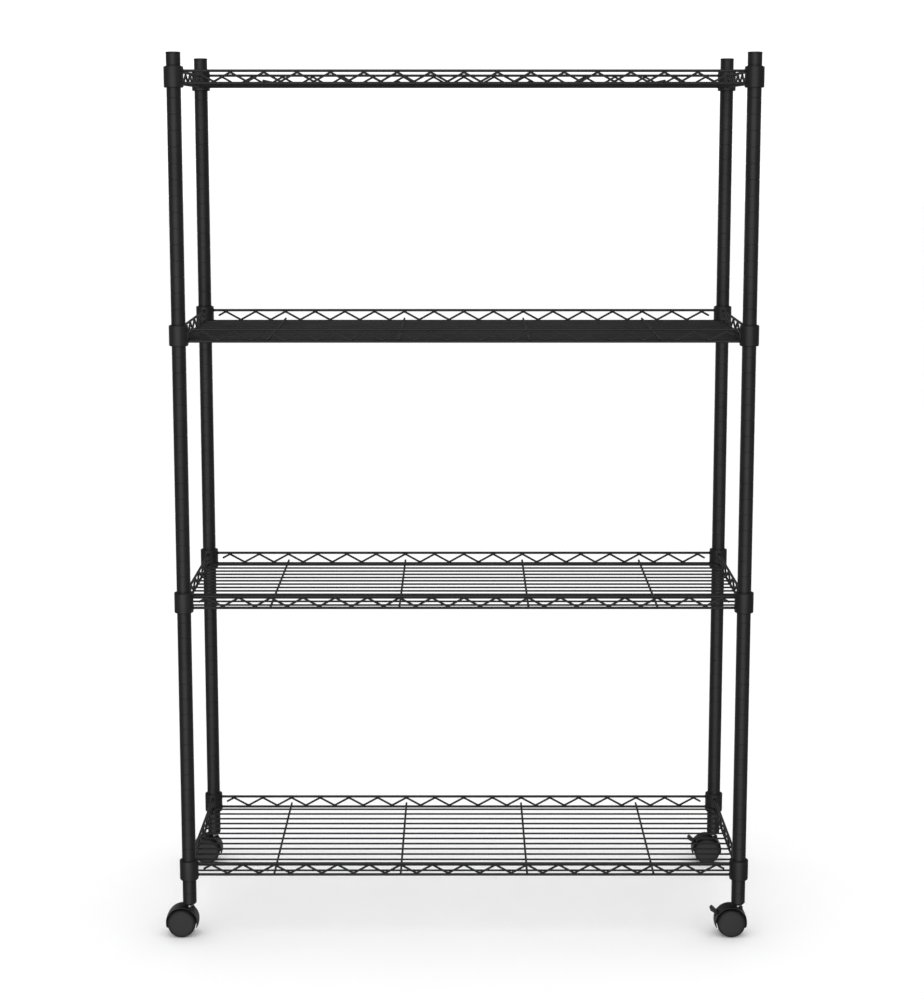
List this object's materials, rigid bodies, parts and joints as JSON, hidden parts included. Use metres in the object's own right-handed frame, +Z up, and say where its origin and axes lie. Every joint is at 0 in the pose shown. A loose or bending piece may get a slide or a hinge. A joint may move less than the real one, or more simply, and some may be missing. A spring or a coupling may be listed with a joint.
{
  "type": "wire shelf cart",
  "caption": "Tall black wire shelving cart: round posts carry open wire shelves with zigzag edges, on twin-wheel swivel casters, some with a brake lever.",
  "frame": {"origin": "on the floor, midway between the four posts", "axes": "+Z up, X along the shelves with the braked casters at +X, +Y from the front to the rear"},
  "size_m": [0.9369, 0.3656, 1.405],
  "materials": {
    "powder_coat": "satin black powder coat",
    "black_plastic": "moulded, fine matt grain",
    "wheel_plastic": "moulded, slight sheen",
    "zinc": "bright zinc plate"
  },
  "bodies": {
    "shelf_1": {"shelf_1_frame": "powder_coat", "shelf_1_mat": "powder_coat"},
    "shelf_2": {"shelf_2_frame": "powder_coat", "shelf_2_mat": "powder_coat"},
    "shelf_3": {"shelf_3_frame": "powder_coat", "shelf_3_mat": "powder_coat"},
    "frame": {"post_front_left": "powder_coat", "cap_front_left": "black_plastic", "foot_front_left": "black_plastic", "stem_front_left": "zinc", "post_front_right": "powder_coat", "cap_front_right": "black_plastic", "foot_front_right": "black_plastic", "stem_front_right": "zinc", "post_rear_left": "powder_coat", "cap_rear_left": "black_plastic", "foot_rear_left": "black_plastic", "stem_rear_left": "zinc", "post_rear_right": "powder_coat", "cap_rear_right": "black_plastic", "foot_rear_right": "black_plastic", "stem_rear_right": "zinc", "sleeve_1_front_left": "black_plastic", "sleeve_1_front_right": "black_plastic", "sleeve_1_rear_left": "black_plastic", "sleeve_1_rear_right": "black_plastic", "sleeve_2_front_left": "black_plastic", "sleeve_2_front_right": "black_plastic", "sleeve_2_rear_left": "black_plastic", "sleeve_2_rear_right": "black_plastic", "sleeve_3_front_left": "black_plastic", "sleeve_3_front_right": "black_plastic", "sleeve_3_rear_left": "black_plastic", "sleeve_3_rear_right": "black_plastic", "sleeve_4_front_left": "black_plastic", "sleeve_4_front_right": "black_plastic", "sleeve_4_rear_left": "black_plastic", "sleeve_4_rear_right": "black_plastic", "shelf_4_frame": "powder_coat", "shelf_4_mat": "powder_coat"},
    "caster_front_left": {"hood_front_left": "black_plastic", "axle_front_left": "zinc"},
    "wheel_front_left_near": {"wheel_front_left_near": "wheel_plastic"},
    "wheel_front_left_far": {"wheel_front_left_far": "wheel_plastic"},
    "caster_front_right": {"hood_front_right": "black_plastic", "axle_front_right": "zinc"},
    "wheel_front_right_near": {"wheel_front_right_near": "wheel_plastic"},
    "wheel_front_right_far": {"wheel_front_right_far": "wheel_plastic"},
    "brake_front_right": {"brake_front_right": "black_plastic"},
    "caster_rear_left": {"hood_rear_left": "black_plastic", "axle_rear_left": "zinc"},
    "wheel_rear_left_near": {"wheel_rear_left_near": "wheel_plastic"},
    "wheel_rear_left_far": {"wheel_rear_left_far": "wheel_plastic"},
    "caster_rear_right": {"hood_rear_right": "black_plastic", "axle_rear_right": "zinc"},
    "wheel_rear_right_near": {"wheel_rear_right_near": "wheel_plastic"},
    "wheel_rear_right_far": {"wheel_rear_right_far": "wheel_plastic"},
    "brake_rear_right": {"brake_rear_right": "black_plastic"}
  },
  "joints": [
    {"name": "shelf_1_lift", "type": "slide", "parent": "frame", "child": "shelf_1", "axis": [0, 0, 1], "range_m": [0, 0.06]},
    {"name": "shelf_2_lift", "type": "slide", "parent": "frame", "child": "shelf_2", "axis": [0, 0, 1], "range_m": [0, 0.05]},
    {"name": "shelf_3_lift", "type": "slide", "parent": "frame", "child": "shelf_3", "axis": [0, 0, 1], "range_m": [0, 0.05]},
    {"name": "caster_front_left_swivel", "type": "hinge", "parent": "frame", "child": "caster_front_left", "pos_m": [-0.4422, -0.1628, 0.0225], "axis": [0, 0, 1], "continuous": true},
    {"name": "wheel_front_left_near_roll", "type": "hinge", "parent": "caster_front_left", "child": "wheel_front_left_near", "pos_m": [-0.4542, -0.1628, 0.0225], "axis": [0, 1, 0], "continuous": true},
    {"name": "wheel_front_left_far_roll", "type": "hinge", "parent": "caster_front_left", "child": "wheel_front_left_far", "pos_m": [-0.4542, -0.1628, 0.0225], "axis": [0, 1, 0], "continuous": true},
    {"name": "caster_front_right_swivel", "type": "hinge", "parent": "frame", "child": "caster_front_right", "pos_m": [0.4422, -0.1628, 0.0225], "axis": [0, 0, 1], "continuous": true},
    {"name": "wheel_front_right_near_roll", "type": "hinge", "parent": "caster_front_right", "child": "wheel_front_right_near", "pos_m": [0.4302, -0.1628, 0.0225], "axis": [0, 1, 0], "continuous": true},
    {"name": "wheel_front_right_far_roll", "type": "hinge", "parent": "caster_front_right", "child": "wheel_front_right_far", "pos_m": [0.4302, -0.1628, 0.0225], "axis": [0, 1, 0], "continuous": true},
    {"name": "brake_front_right_press", "type": "hinge", "parent": "caster_front_right", "child": "brake_front_right", "pos_m": [0.4142, -0.1628, 0.0315], "axis": [0, -1, 0], "range_deg": [0, 15]},
    {"name": "caster_rear_left_swivel", "type": "hinge", "parent": "frame", "child": "caster_rear_left", "pos_m": [-0.4422, 0.1628, 0.0225], "axis": [0, 0, 1], "continuous": true},
    {"name": "wheel_rear_left_near_roll", "type": "hinge", "parent": "caster_rear_left", "child": "wheel_rear_left_near", "pos_m": [-0.4542, 0.1628, 0.0225], "axis": [0, 1, 0], "continuous": true},
    {"name": "wheel_rear_left_far_roll", "type": "hinge", "parent": "caster_rear_left", "child": "wheel_rear_left_far", "pos_m": [-0.4542, 0.1628, 0.0225], "axis": [0, 1, 0], "continuous": true},
    {"name": "caster_rear_right_swivel", "type": "hinge", "parent": "frame", "child": "caster_rear_right", "pos_m": [0.4422, 0.1628, 0.0225], "axis": [0, 0, 1], "continuous": true},
    {"name": "wheel_rear_right_near_roll", "type": "hinge", "parent": "caster_rear_right", "child": "wheel_rear_right_near", "pos_m": [0.4302, 0.1628, 0.0225], "axis": [0, 1, 0], "continuous": true},
    {"name": "wheel_rear_right_far_roll", "type": "hinge", "parent": "caster_rear_right", "child": "wheel_rear_right_far", "pos_m": [0.4302, 0.1628, 0.0225], "axis": [0, 1, 0], "continuous": true},
    {"name": "brake_rear_right_press", "type": "hinge", "parent": "caster_rear_right", "child": "brake_rear_right", "pos_m": [0.4142, 0.1628, 0.0315], "axis": [0, -1, 0], "range_deg": [0, 15]}
  ]
}
